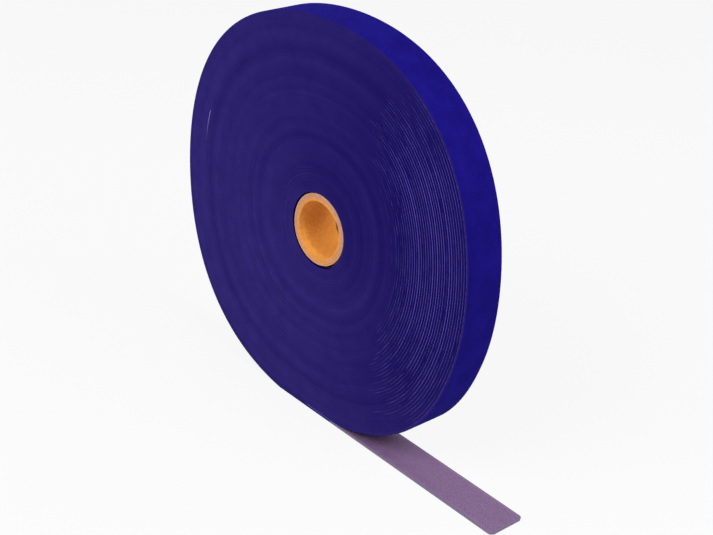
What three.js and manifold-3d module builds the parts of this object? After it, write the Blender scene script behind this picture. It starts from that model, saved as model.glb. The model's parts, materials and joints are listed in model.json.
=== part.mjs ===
// A roll of back-to-back hook and loop tape, standing on its edge on a flat surface.
// A hook web and a loop web are bonded into one tape, which is wound on a paperboard core with its hooks inwards.
// The tape's free end leaves the bottom of the roll and lies flat, hooks up. It is a chain of short links, so that
// it can curl up and wind back on to the roll.
// Millimetres, +Z up. The roll's axis runs along Y and the free end points along +X. The origin is on the surface
// that the roll stands on, straight below the middle of the roll and in the middle of the tape's width.

import * as THREE from "three";
import { mergeVertices } from "three/addons/utils/BufferGeometryUtils.js";
import Module from "manifold-3d";

// Tape
const TAPE_WIDTH = 20;
const HOOK_WEB = 0.6; // thickness of the moulded hook web, with its hooks
const LOOP_WEB = 0.75; // thickness of the knitted loop web, with its pile
const BOND_LINE = 0.1; // adhesive between the two webs

// Core
const CORE_BORE = 26.8; // diameter of the hole through the paperboard tube
const CORE_WALL = 3.5;
const CORE_SHIFT = 2.3; // the core has worked this far off the roll's middle, towards the free end
const CORE_DROP = 1.4; // and this far down
const CORE_STEPS = 48;
const STARTER_THICKNESS = 0.2; // adhesive strip that holds the tape's inner end to the core
const STARTER_LENGTH = 25;
const STARTER_WIDTH = 14;
const STARTER_STEPS = 10;
const STARTER_CLEARANCE = 0.15; // between the strip and the core, and the strip and the first turn

// Winding
const ROLL_RADIUS = 99; // mean outside radius of the wound tape
const PRESSED_FLAT = 1.8; // the soft roll is pressed in by this at four sides, and bulges as much between them
const FLAT_SIDES = 4;
const FLAT_TURN = THREE.MathUtils.degToRad(4); // the flats lie this far round from the roll's four quarters
const SAG = 2.3; // the roll hangs out by this low down on the free end's side
const SAG_BEGINS = THREE.MathUtils.degToRad(-92); // just past the bottom of the roll
const SAG_FULL = THREE.MathUtils.degToRad(-74);
const SAG_FADES = THREE.MathUtils.degToRad(-50);
const SAG_ENDS = THREE.MathUtils.degToRad(-20);
const FOOT_DEPTH = 0.5; // how deep the roll is flattened where it stands
const DRAWN_TURNS = 23; // the real roll has more and thinner turns
const TURN_STEPS = 24;
const TURN_GAP = 0.75; // between one drawn turn and the next, where nothing presses on the roll
const THINNING_TURNS = 1 / 3; // the end of the last turn, which thins down to the tape's own thickness

// Free end
const TAIL_LENGTH = 124.4; // from below the roll's middle to the cut end
const TAIL_ROOT = 32; // the stretch that stays with the roll, up to where the roll no longer lies on it
const TAIL_LINKS = 6;
const LINK_GAP = 0.3;
const END_CORNER = 1.8; // radius of the cut end's corners
const CORNER_STEPS = 6;

// Values that follow from the driving dimensions
const coreRadius = CORE_BORE / 2 + CORE_WALL;
const starterRadius = coreRadius + STARTER_CLEARANCE;
const firstTurnRadius = starterRadius + STARTER_THICKNESS + STARTER_CLEARANCE;
const turnPitch = (ROLL_RADIUS - firstTurnRadius + TURN_GAP) / (DRAWN_TURNS + 1);
const drawnWebs = turnPitch - TURN_GAP - BOND_LINE;
const drawnHookWeb = (drawnWebs * HOOK_WEB) / (HOOK_WEB + LOOP_WEB);
const drawnLoopWeb = drawnWebs - drawnHookWeb;
const stepAngle = (2 * Math.PI) / TURN_STEPS;
const bottomAngle = -Math.PI / 2;
const lastAngle = bottomAngle - stepAngle / 2; // the tape leaves the roll here, and the roll stands on it
const middleHeight = -pressedRadius(ROLL_RADIUS, lastAngle) * Math.sin(lastAngle) - FOOT_DEPTH;
const linkLength = (TAIL_LENGTH - TAIL_ROOT) / TAIL_LINKS;
const hookWebBottom = LOOP_WEB + BOND_LINE;
const MERGE_DISTANCE = 1e-3; // vertices closer than this are one vertex

const paperboard = { color: 0xc98a4e, roughness: 0.9, metalness: 0 };
const adhesive = { color: 0xd8d2bf, roughness: 0.6, metalness: 0 };
const hookPlastic = { color: 0x846e8e, roughness: 0.5, metalness: 0 };
const loopPile = { color: 0x1f1670, roughness: 1, metalness: 0 };

// One named piece of the object, with a material of its own.
function piece(name, geometry, finish) {
  const mesh = new THREE.Mesh(geometry, new THREE.MeshStandardMaterial(finish));
  mesh.name = name;
  return mesh;
}

// How far out a radius lies, from 0 at the core to 1 at the outside of the roll.
function shareOutwards(radius) {
  return (radius - coreRadius) / (ROLL_RADIUS - coreRadius);
}

// How much of the sag an angle of the roll has, from 0 to 1.
function sagShare(angle) {
  const turn = Math.atan2(Math.sin(angle), Math.cos(angle));
  const begun = THREE.MathUtils.smoothstep(turn, SAG_BEGINS, SAG_FULL);
  return begun * (1 - THREE.MathUtils.smoothstep(turn, SAG_FADES, SAG_ENDS));
}

// The radius that a point of a round roll has after the roll is pressed and has sagged. The core itself stays round.
function pressedRadius(radius, angle) {
  const pressedIn = PRESSED_FLAT * Math.cos(FLAT_SIDES * (angle - FLAT_TURN));
  return radius + shareOutwards(radius) * (SAG * sagShare(angle) - pressedIn);
}

// A point in the roll's side view, X across and Z up. Turns near the core are centred on it, and the outermost on
// the roll's middle.
function sidePoint(radius, angle) {
  const inwards = 1 - shareOutwards(radius);
  const x = CORE_SHIFT * inwards + radius * Math.cos(angle);
  return new THREE.Vector2(x, middleHeight - CORE_DROP * inwards + radius * Math.sin(angle));
}

// A side view outline, made solid over a width that is centred on the tape's middle.
function sideExtrusion(outline, width) {
  const geometry = new THREE.ExtrudeGeometry(new THREE.Shape(outline), { depth: width, bevelEnabled: false });
  return geometry.translate(0, 0, -width / 2).rotateX(Math.PI / 2);
}

function solidOf(geometry) {
  const bare = geometry.clone();
  bare.deleteAttribute("normal");
  bare.deleteAttribute("uv");
  const merged = mergeVertices(bare, MERGE_DISTANCE);
  return new wasm.Manifold(
    new wasm.Mesh({
      numProp: 3,
      vertProperties: new Float32Array(merged.getAttribute("position").array),
      triVerts: new Uint32Array(merged.index.array),
    }),
  );
}

function geometryOf(solid) {
  const mesh = solid.getMesh();
  const geometry = new THREE.BufferGeometry();
  geometry.setAttribute("position", new THREE.BufferAttribute(mesh.vertProperties, mesh.numProp));
  geometry.setIndex(new THREE.BufferAttribute(mesh.triVerts, 1));
  geometry.computeVertexNormals();
  return geometry;
}

// Takes away whatever reaches below the surface that the roll stands on.
function cutFlatBelow(geometry) {
  const size = 3 * ROLL_RADIUS;
  const ground = new THREE.BoxGeometry(size, size, size).translate(0, 0, -size / 2);
  return geometryOf(solidOf(geometry).subtract(solidOf(ground)));
}

// The winding, step by step from the core outwards. Each step holds the points of the tape's section in side view,
// from the hooks, which face the core, to the loops, which face outwards.
function windingSteps() {
  const steps = [];
  for (let i = 0; i <= DRAWN_TURNS * TURN_STEPS; i++) {
    const turns = i / TURN_STEPS;
    const angle = lastAngle + 2 * Math.PI * (turns - DRAWN_TURNS);
    const thinning = Math.max(0, 1 - (DRAWN_TURNS - turns) / THINNING_TURNS);
    const loopWeb = THREE.MathUtils.lerp(drawnLoopWeb, LOOP_WEB + FOOT_DEPTH, thinning);
    const hookWeb = THREE.MathUtils.lerp(drawnHookWeb, HOOK_WEB, thinning);
    const loops = pressedRadius(firstTurnRadius + turnPitch * (turns + 1) - TURN_GAP, angle);
    const loopBack = loops - loopWeb;
    const hookBack = loopBack - BOND_LINE;
    steps.push({
      hooks: sidePoint(hookBack - hookWeb, angle),
      hookBack: sidePoint(hookBack, angle),
      loopBack: sidePoint(loopBack, angle),
      loops: sidePoint(loops, angle),
    });
  }
  return steps;
}

// The straight stretch of tape below and beyond the roll's foot, which stays with the roll.
function tailRootStep() {
  const x = TAIL_ROOT - LINK_GAP / 2;
  return {
    hooks: new THREE.Vector2(x, hookWebBottom + HOOK_WEB),
    hookBack: new THREE.Vector2(x, hookWebBottom),
    loopBack: new THREE.Vector2(x, LOOP_WEB),
    loops: new THREE.Vector2(x, 0),
  };
}

// One web of the wound tape, as one unbroken strip between two of a step's points.
function woundWeb(steps, inner, outer) {
  const outwards = steps.map((step) => step[outer]);
  const back = steps.map((step) => step[inner]).reverse();
  return sideExtrusion([...outwards, ...back], TAPE_WIDTH);
}

// The least distance from the loops of a turn to the hooks of the next, or of the stretch that the last turn ends in,
// measured on the tape's own points and on points between them.
function leastTurnGap(steps) {
  const samples = 12;
  const last = steps.length - 2;
  const along = (name, i, t) => steps[i][name].clone().lerp(steps[i + 1][name], t / samples);
  let least = Infinity;
  for (let i = 0; i <= last - TURN_STEPS + 2; i++) {
    for (let t = 0; t < samples; t++) {
      const from = along("loops", i, t);
      for (let near = Math.min(i + TURN_STEPS - 1, last); near <= Math.min(i + TURN_STEPS + 1, last); near++) {
        for (let s = 0; s < samples; s++) {
          least = Math.min(least, from.distanceTo(along("hooks", near, s)));
        }
      }
    }
  }
  return least;
}

function coreTube() {
  const half = TAPE_WIDTH / 2;
  const bore = CORE_BORE / 2;
  const profile = [
    new THREE.Vector2(bore, -half),
    new THREE.Vector2(coreRadius, -half),
    new THREE.Vector2(coreRadius, half),
    new THREE.Vector2(bore, half),
    new THREE.Vector2(bore, -half),
  ];
  return new THREE.LatheGeometry(profile, CORE_STEPS).translate(CORE_SHIFT, 0, middleHeight - CORE_DROP);
}

// The strip lies on the core's outside, under the tape's inner end.
function starterStrip() {
  const start = lastAngle - 2 * Math.PI * DRAWN_TURNS;
  const sweep = STARTER_LENGTH / starterRadius;
  const outside = [];
  const inside = [];
  for (let i = 0; i <= STARTER_STEPS; i++) {
    const angle = start + (sweep * i) / STARTER_STEPS;
    outside.push(sidePoint(starterRadius + STARTER_THICKNESS, angle));
    inside.unshift(sidePoint(starterRadius, angle));
  }
  return sideExtrusion([...outside, ...inside], STARTER_WIDTH);
}

// The flat outline of a link, from just past its hinge to just short of the next one. The last link ends in the
// tape's cut end, whose corners are rounded.
function linkOutline(isLast) {
  const half = TAPE_WIDTH / 2;
  const start = LINK_GAP / 2;
  const end = isLast ? linkLength : linkLength - LINK_GAP / 2;
  const outline = new THREE.Shape();
  outline.moveTo(start, -half);
  if (isLast) {
    outline.lineTo(end - END_CORNER, -half);
    outline.absarc(end - END_CORNER, END_CORNER - half, END_CORNER, -Math.PI / 2, 0);
    outline.absarc(end - END_CORNER, half - END_CORNER, END_CORNER, 0, Math.PI / 2);
  } else {
    outline.lineTo(end, -half);
    outline.lineTo(end, half);
  }
  outline.lineTo(start, half);
  outline.closePath();
  return outline;
}

function linkWeb(outline, bottom, thickness) {
  const options = { depth: thickness, bevelEnabled: false, curveSegments: CORNER_STEPS };
  return new THREE.ExtrudeGeometry(outline, options).translate(0, 0, bottom);
}

// A link of the free end, in a group that sits at the link's hinge and carries the links beyond it.
function tailLink(number) {
  const link = new THREE.Group();
  const isLast = number === TAIL_LINKS;
  const outline = linkOutline(isLast);
  link.add(piece(`tail_loop_web_${number}`, linkWeb(outline, 0, LOOP_WEB), loopPile));
  link.add(piece(`tail_hook_web_${number}`, linkWeb(outline, hookWebBottom, HOOK_WEB), hookPlastic));
  if (!isLast) {
    const next = tailLink(number + 1);
    next.position.x = linkLength;
    link.add(next);
  }
  return link;
}

const wasm = await Module();
wasm.setup();

const tapeSteps = [...windingSteps(), tailRootStep()];
console.log(`least gap between turns: ${leastTurnGap(tapeSteps).toFixed(3)} mm`);

const roll = new THREE.Group();
roll.add(piece("core_tube", coreTube(), paperboard));
roll.add(piece("starter_strip", starterStrip(), adhesive));
roll.add(piece("wound_hook_web", woundWeb(tapeSteps, "hooks", "hookBack"), hookPlastic));
roll.add(piece("wound_loop_web", cutFlatBelow(woundWeb(tapeSteps, "loopBack", "loops")), loopPile));
const tail = tailLink(1);
tail.position.x = TAIL_ROOT;
roll.add(tail);

export default roll;
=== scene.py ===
"""The looks of a roll of back-to-back hook and loop tape, built around its CAD frame.

A narrow tape is wound on a paperboard core. Its hooks face inwards and its brushed loops outwards, so
the roll shows blue pile round its rim, the slit edges of both webs on its sides, and hooks on the free
end that lies in front of it. Everything is in metres. The roll's axis runs along Y, and the free end
points along +X.
"""

import json
import logging
import math
import random
from dataclasses import dataclass
from enum import Enum
from typing import Any, Callable, Optional, Sequence, Union

import bmesh
import bpy
from mathutils import Matrix, Vector, noise


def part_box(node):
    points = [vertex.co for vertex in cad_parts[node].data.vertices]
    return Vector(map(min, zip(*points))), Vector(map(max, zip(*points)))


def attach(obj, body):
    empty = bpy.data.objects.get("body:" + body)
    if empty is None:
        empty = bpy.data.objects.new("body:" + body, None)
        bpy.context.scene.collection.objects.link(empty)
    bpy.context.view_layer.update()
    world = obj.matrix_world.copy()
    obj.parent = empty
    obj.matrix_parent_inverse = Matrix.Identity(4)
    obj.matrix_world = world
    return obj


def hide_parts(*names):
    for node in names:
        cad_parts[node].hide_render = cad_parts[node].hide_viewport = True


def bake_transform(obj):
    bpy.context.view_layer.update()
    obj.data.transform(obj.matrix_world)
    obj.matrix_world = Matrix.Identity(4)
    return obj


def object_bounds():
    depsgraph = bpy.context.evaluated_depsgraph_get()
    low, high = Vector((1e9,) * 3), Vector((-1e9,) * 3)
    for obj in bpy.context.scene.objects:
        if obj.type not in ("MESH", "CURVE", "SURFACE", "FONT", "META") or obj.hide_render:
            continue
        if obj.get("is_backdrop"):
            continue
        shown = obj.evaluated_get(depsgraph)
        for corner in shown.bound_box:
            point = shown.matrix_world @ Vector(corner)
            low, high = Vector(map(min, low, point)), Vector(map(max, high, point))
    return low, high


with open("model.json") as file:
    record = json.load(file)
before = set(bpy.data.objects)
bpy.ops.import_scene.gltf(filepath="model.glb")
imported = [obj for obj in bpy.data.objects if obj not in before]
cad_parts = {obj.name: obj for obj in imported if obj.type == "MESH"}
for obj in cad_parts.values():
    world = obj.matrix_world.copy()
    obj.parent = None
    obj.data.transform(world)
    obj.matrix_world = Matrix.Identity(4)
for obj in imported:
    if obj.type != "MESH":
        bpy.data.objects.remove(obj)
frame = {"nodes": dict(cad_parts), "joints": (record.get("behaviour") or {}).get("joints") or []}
CAD_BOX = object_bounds()

MM = 0.001
DEG = math.radians(1)
SEED = 7
# The core sits nearer to the free end than the roll's middle does, and lower.
CORE_SHIFT = Vector((2.3 * MM, 0.0, -1.4 * MM))
# The soft cut end lies this far past the last stiff link.
CUT_END_PROUD = 2.0 * MM
# Turns are counted from the bottom of the roll, which is this share of a turn before +X.
BOTTOM_TURN = 0.25
# Most of a noise lies between these levels.
GRAIN_SPAN = (0.3, 0.7)
FINE_DETAIL = 3.0
IMAGE_WIDTH = 713
SENSOR_WIDTH = 36.0
CLIP_RANGE = (0.01, 100.0)
SEEN_RAYS = ("Camera", "Glossy", "Transmission")

Colour = tuple[float, float, float, float]
Section = list[tuple[float, float]]
Place = Callable[[float, float, float], Vector]
Piece = bpy.types.Object
BMesh = bmesh.types.BMesh
WHITE: Colour = (1.0, 1.0, 1.0, 1.0)
log = logging.getLogger("tape_roll")


class Slot(Enum):
    """The record's material slots."""

    PAPERBOARD = "paperboard"
    ADHESIVE = "adhesive_strip"
    HOOK = "hook_web"
    LOOP = "loop_web"


class Held(Enum):
    """How a sheet is held."""

    LAID = "laid"
    STRETCHED = "stretched"


class Body(Enum):
    """The frame's bodies that have no number."""

    ROLL = "roll"


def srgb(red: int, green: int, blue: int) -> Colour:
    """A colour as it is read off a screen, in linear light.

    Args:
        red: The red level, from 0 to 255.
        green: The green level.
        blue: The blue level.

    Returns:
        The colour, with an alpha of one.
    """

    def linear(level: int) -> float:
        """One channel in linear light."""
        share = level / 255
        return share / 12.92 if share <= 0.04045 else ((share + 0.055) / 1.055) ** 2.4

    return linear(red), linear(green), linear(blue), 1.0


def eased(value: float) -> float:
    """A value from 0 to 1 with its ends smoothed."""
    held = min(max(value, 0.0), 1.0)
    return held * held * (3 - 2 * held)


class Term:
    """A value that flows between a material's nodes, so that shader maths reads as Python."""

    def __init__(self, nodes: "Nodes", socket: bpy.types.NodeSocket) -> None:
        """Wraps one output socket of a node tree."""
        self.nodes = nodes
        self.socket = socket

    def __add__(self, other: "Value") -> "Term":
        """Self plus other."""
        return self.nodes.math("ADD", self, other)

    def __radd__(self, other: "Value") -> "Term":
        """Other plus self."""
        return self.nodes.math("ADD", other, self)

    def __mul__(self, other: "Value") -> "Term":
        """Self times other."""
        return self.nodes.math("MULTIPLY", self, other)

    def __rmul__(self, other: "Value") -> "Term":
        """Other times self."""
        return self.nodes.math("MULTIPLY", other, self)


Value = Union[Term, float]


class Nodes:
    """The node tree of one material or world, with one way to add a node to it."""

    def __init__(self, owner: Union[bpy.types.Material, bpy.types.World]) -> None:
        """Takes over the owner's node tree."""
        owner.use_nodes = True
        self.tree = owner.node_tree

    def add(
        self,
        kind: str,
        settings: Optional[dict[str, Any]] = None,
        inputs: Optional[dict[Union[int, str], Any]] = None,
        output: Union[int, str] = 0,
    ) -> Term:
        """Adds a node.

        Args:
            kind: The node's type.
            settings: Its properties, which are set first.
            inputs: Values or terms by the name or number of its input sockets.
            output: The output socket that is wanted.

        Returns:
            The output, as a term.
        """
        node = self.tree.nodes.new(kind)
        for name, value in (settings or {}).items():
            setattr(node, name, value)
        for key, value in (inputs or {}).items():
            self.feed(node.inputs[key], value)
        return Term(self, node.outputs[output])

    def feed(self, socket: bpy.types.NodeSocket, value: Any) -> None:
        """Links a term to an input socket, or sets the socket to a plain value.

        Args:
            socket: The input socket.
            value: The term or the plain value.
        """
        if isinstance(value, Term):
            self.tree.links.new(value.socket, socket)
        else:
            socket.default_value = value

    def math(self, operation: str, first: Value, second: Value) -> Term:
        """One sum on numbers."""
        return self.add("ShaderNodeMath", {"operation": operation}, {0: first, 1: second})

    def place(self) -> Term:
        """The point on the piece, in metres."""
        return self.add("ShaderNodeTexCoord", output="Object")

    def attribute(self, name: str) -> Term:
        """A number that the mesh carries at its points."""
        return self.add("ShaderNodeAttribute", {"attribute_name": name}, output="Fac")

    def grain(self, place: Term, size: float, detail: float = 2.0) -> Term:
        """Noise whose lumps are about one size, spread from 0 to 1.

        Args:
            place: The point on the piece.
            size: The size of the lumps, in metres.
            detail: How many layers of finer noise lie on them.

        Returns:
            The noise.
        """
        lumps = self.add("ShaderNodeTexNoise", None, {"Vector": place, "Scale": 1 / size, "Detail": detail})
        low, high = GRAIN_SPAN
        return self.add("ShaderNodeMapRange", None, {"Value": lumps, "From Min": low, "From Max": high})

    def stretched(self, place: Term, scale: tuple[float, float, float]) -> Term:
        """A place stretched along the axes, so that a pattern on it is drawn out."""
        return self.add("ShaderNodeVectorMath", {"operation": "MULTIPLY"}, {0: place, 1: scale})

    def mix(self, share: Value, first: Union[Term, Colour], second: Union[Term, Colour]) -> Term:
        """A colour between two others."""
        return self.add("ShaderNodeMix", {"data_type": "RGBA"}, {0: share, 6: first, 7: second}, output=2)

    def bump(self, height: Term, depth: float, strength: float) -> Term:
        """A normal for a relief of that depth, in metres."""
        inputs = {"Strength": strength, "Distance": depth, "Height": height}
        return self.add("ShaderNodeBump", None, inputs, output="Normal")


@dataclass(frozen=True)
class Finish:
    """What a piece is coated with. Each kind of finish says how it is painted."""

    name: str = "finish"
    deep: Colour = WHITE
    bright: Colour = WHITE
    rough_low: float = 0.7
    rough_span: float = 0.2
    relief: float = 0.05 * MM
    bump: float = 0.4
    specular: float = 0.5

    def paint(self, nodes: Nodes) -> dict[str, Any]:
        """What feeds the shader's sockets, by their names."""
        raise NotImplementedError

    def sockets(self, nodes: Nodes, colour: Term, rough: Term, raised: Term) -> dict[str, Any]:
        """What feeds the sockets that every finish has.

        Args:
            nodes: The material's node tree.
            colour: The colour.
            rough: The grain from 0 to 1 that the roughness follows.
            raised: The grain from 0 to 1 that the relief follows.

        Returns:
            Values and terms by the names of the shader's sockets.
        """
        return {
            "Base Color": colour,
            "Roughness": self.rough_low + self.rough_span * rough,
            "Normal": nodes.bump(raised, self.relief, self.bump),
            "Specular IOR Level": self.specular,
        }

    def material(self) -> bpy.types.Material:
        """Makes the finish's material once.

        Returns:
            The material.
        """
        found = bpy.data.materials.get(self.name)
        if found is not None:
            return found
        made = bpy.data.materials.new(self.name)
        nodes = Nodes(made)
        shader = nodes.tree.nodes["Principled BSDF"]
        for socket, value in self.paint(nodes).items():
            nodes.feed(shader.inputs[socket], value)
        return made


Finishes = dict[Slot, Finish]


@dataclass(frozen=True)
class WebFinish(Finish):
    """What a web is made of: its faces, its slit edges, and its border where it is handled."""

    slit_deep: Colour = WHITE
    slit_bright: Colour = WHITE
    worn: Colour = WHITE

    def edged(self, nodes: Nodes, face: Term, tone: Term) -> Term:
        """The web's colour with its slit edges and its worn border.

        Args:
            nodes: The material's node tree.
            face: The colour of its faces.
            tone: How pale its slit edges are, from 0 to 1.

        Returns:
            The colour.
        """
        slit = nodes.mix(tone, self.slit_deep, self.slit_bright)
        clean = nodes.mix(nodes.attribute("edge"), face, slit)
        return nodes.mix(nodes.attribute("worn"), clean, self.worn)


@dataclass(frozen=True)
class LoopPile(WebFinish):
    """Brushed loop pile. Its slit edges are a little greyer, and worn pale where they are handled."""

    name: str = "loop_pile"
    deep: Colour = srgb(13, 6, 90)
    bright: Colour = srgb(27, 18, 124)
    rough_low: float = 0.84
    rough_span: float = 0.14
    relief: float = 0.2 * MM
    specular: float = 0.04
    slit_deep: Colour = srgb(17, 7, 84)
    slit_bright: Colour = srgb(57, 45, 121)
    worn: Colour = srgb(128, 116, 144)
    fibre: float = 0.5 * MM
    fibre_share: float = 0.6
    patch: float = 9 * MM
    tone_low: float = 0.7
    tone_span: float = 0.3
    sheen: float = 0.06
    sheen_roughness: float = 0.5
    sheen_tint: Colour = srgb(60, 50, 220)

    def paint(self, nodes: Nodes) -> dict[str, Any]:
        """Fine fibres over soft patches, and turns that differ a little from each other.

        Args:
            nodes: The material's node tree.

        Returns:
            Values and terms by the names of the shader's sockets.
        """
        place = nodes.place()
        fibres = nodes.grain(place, self.fibre, FINE_DETAIL)
        patches = nodes.grain(place, self.patch)
        level = fibres * self.fibre_share + patches * (1 - self.fibre_share)
        pile = nodes.mix(level, self.deep, self.bright)
        uneven = fibres * self.tone_span + patches * self.tone_span + self.tone_low
        colour = self.edged(nodes, pile, nodes.attribute("tone") * uneven)
        return {
            **self.sockets(nodes, colour, fibres, fibres),
            "Sheen Weight": self.sheen,
            "Sheen Roughness": self.sheen_roughness,
            "Sheen Tint": self.sheen_tint,
        }


@dataclass(frozen=True)
class HookPlastic(WebFinish):
    """Extruded hook web in milky mauve plastic, bluer at its slit edges and greyer where it is handled. Its
    deep slit colour is partly painted shade, for edges that sit back in the groove under the yarn.
    """

    name: str = "hook_plastic"
    deep: Colour = srgb(116, 89, 126)
    bright: Colour = srgb(126, 98, 137)
    rough_low: float = 0.42
    rough_span: float = 0.16
    bump: float = 0.3
    specular: float = 0.4
    # Partly painted shade: the dark of edges that sit back in the groove under the yarn.
    slit_deep: Colour = srgb(40, 30, 100)
    slit_bright: Colour = srgb(86, 71, 186)
    worn: Colour = srgb(108, 92, 114)
    cloud: float = 6 * MM
    streak: tuple[float, float, float] = (0.06, 1.0, 1.0)
    streak_width: float = 0.4 * MM

    def paint(self, nodes: Nodes) -> dict[str, Any]:
        """Streaks along the tape over soft clouds.

        Args:
            nodes: The material's node tree.

        Returns:
            Values and terms by the names of the shader's sockets.
        """
        place = nodes.place()
        clouds = nodes.grain(place, self.cloud)
        streaks = nodes.grain(nodes.stretched(place, self.streak), self.streak_width)
        face = nodes.mix((clouds + streaks) * 0.5, self.deep, self.bright)
        colour = self.edged(nodes, face, nodes.attribute("tone"))
        return self.sockets(nodes, colour, clouds, streaks)


@dataclass(frozen=True)
class KraftBoard(Finish):
    """Spiral-wound kraft paperboard, paler and rougher where it is cut."""

    name: str = "kraft_board"
    deep: Colour = srgb(216, 138, 56)
    bright: Colour = srgb(238, 164, 74)
    rough_low: float = 0.82
    rough_span: float = 0.14
    relief: float = 0.08 * MM
    specular: float = 0.25
    cut_deep: Colour = srgb(184, 128, 98)
    cut_bright: Colour = srgb(209, 159, 128)
    # The dark of the seams, also used as painted shadow in the split behind the loose liner.
    seam: Colour = srgb(70, 32, 14)
    fibre: tuple[float, float, float] = (1.0, 0.25, 1.0)
    fibre_width: float = 0.5 * MM
    fleck: float = 1.6 * MM

    def paint(self, nodes: Nodes) -> dict[str, Any]:
        """Pulp fibres and flecks, with dark seams and a painted shadow in the split behind the loose liner,
        where the mesh says so.

        Args:
            nodes: The material's node tree.

        Returns:
            Values and terms by the names of the shader's sockets.
        """
        place = nodes.place()
        fibres = nodes.grain(nodes.stretched(place, self.fibre), self.fibre_width, FINE_DETAIL)
        level = (fibres + nodes.grain(place, self.fleck)) * 0.5
        wall = nodes.mix(level, self.deep, self.bright)
        cut = nodes.mix(level, self.cut_deep, self.cut_bright)
        board = nodes.mix(nodes.attribute("edge"), wall, cut)
        return self.sockets(nodes, nodes.mix(nodes.attribute("seam"), board, self.seam), fibres, fibres)


@dataclass(frozen=True)
class PlainGrain(Finish):
    """A surface with one fine grain, which is seen and felt."""

    size: float = 0.3 * MM

    def paint(self, nodes: Nodes) -> dict[str, Any]:
        """One grain for the colour, the roughness and the relief."""
        grain = nodes.grain(nodes.place(), self.size)
        return self.sockets(nodes, nodes.mix(grain, self.deep, self.bright), grain, grain)


# Yellowed double-sided tape that holds the first turn.
ADHESIVE_STRIP = PlainGrain(
    name="adhesive_strip",
    deep=srgb(188, 160, 104),
    bright=srgb(218, 196, 146),
    rough_low=0.45,
    relief=0.04 * MM,
    bump=0.3,
    size=2 * MM,
)
# A sliver of slit edge, paler than the edges round it.
LOOSE_YARN = PlainGrain(name="loose_yarn", deep=srgb(104, 92, 168), bright=srgb(134, 122, 196))


def straight_strip(section: Section, spans: int, steps: int) -> BMesh:
    """Draws a closed section out along X, one unit at a step.

    Args:
        section: Pairs of the place across the tape and the height in its thickness.
        spans: How many even spans the strip is cut into first.
        steps: How many steps each span is then cut into.

    Returns:
        A closed strip, still flat, to be wound or laid afterwards.
    """
    bm = bmesh.new()
    start = bm.faces.new([bm.verts.new((0.0, across, height)) for across, height in section])
    drawn = bmesh.ops.extrude_face_region(bm, geom=[start], use_keep_orig=True)["geom"]
    bmesh.ops.translate(bm, vec=(spans * steps, 0, 0), verts=points_of(drawn))
    for cuts in (spans - 1, steps - 1):
        lengthways = [edge for edge in bm.edges if edge.verts[0].co.x != edge.verts[1].co.x]
        bmesh.ops.subdivide_edges(bm, edges=lengthways, cuts=cuts)
    return bm


def points_of(parts: Sequence[Any]) -> list[bmesh.types.BMVert]:
    """The points among the parts of a mesh."""
    return [part for part in parts if isinstance(part, bmesh.types.BMVert)]


def everything(bm: BMesh) -> list[Any]:
    """All the parts of a mesh."""
    return bm.verts[:] + bm.edges[:] + bm.faces[:]


def mark(bm: BMesh, name: str, measure: Callable[[Vector], float]) -> None:
    """Gives every point a number that a finish reads, measured at the point's place.

    Args:
        bm: The mesh.
        name: The number's name.
        measure: What gives the number at a place.
    """
    layer = bm.verts.layers.float.new(name)
    for vertex in bm.verts:
        vertex[layer] = measure(vertex.co)


def move_points(bm: BMesh, place: Callable[[Vector], Vector]) -> None:
    """Moves every point to where a function puts it."""
    for vertex in bm.verts:
        vertex.co = place(vertex.co)


def sweep(bm: BMesh, parts: list[Any], steps: int, **how: Any) -> None:
    """Draws parts of a mesh out round an axis, or repeats them along a step. How is the operator's own."""
    still = {"cent": (0, 0, 0), "axis": (0, 0, 1), "dvec": (0, 0, 0), "angle": 0.0}
    bmesh.ops.spin(bm, geom=parts, steps=steps, **{**still, **how})


def shown(name: str, data: bpy.types.ID) -> Piece:
    """Puts a new object in the scene, at the origin.

    Args:
        name: Its name.
        data: Its mesh, lamp or camera.

    Returns:
        The object.
    """
    made = bpy.data.objects.new(name, data)
    bpy.context.scene.collection.objects.link(made)
    return made


def make_piece(name: str, bm: BMesh, finish: Finish, crease: float = 50.0) -> Piece:
    """Turns a bmesh into a shown object at the origin.

    Args:
        name: The piece's name.
        bm: Its mesh, which is freed.
        finish: What it is coated with.
        crease: The angle in degrees from which an edge stays sharp.

    Returns:
        The object.
    """
    mesh = bpy.data.meshes.new(name)
    bmesh.ops.recalc_face_normals(bm, faces=bm.faces[:])
    bm.to_mesh(mesh)
    bm.free()
    mesh.materials.append(finish.material())
    mesh.shade_smooth()
    mesh.set_sharp_from_angle(angle=math.radians(crease))
    return shown(name, mesh)


def fit_to_roll(piece: Piece, slot: Slot) -> Piece:
    """Fixes a piece to the roll.

    Args:
        piece: The piece.
        slot: Its material slot. It is not used.

    Returns:
        The same piece.
    """
    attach(piece, Body.ROLL.value)
    return piece


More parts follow.
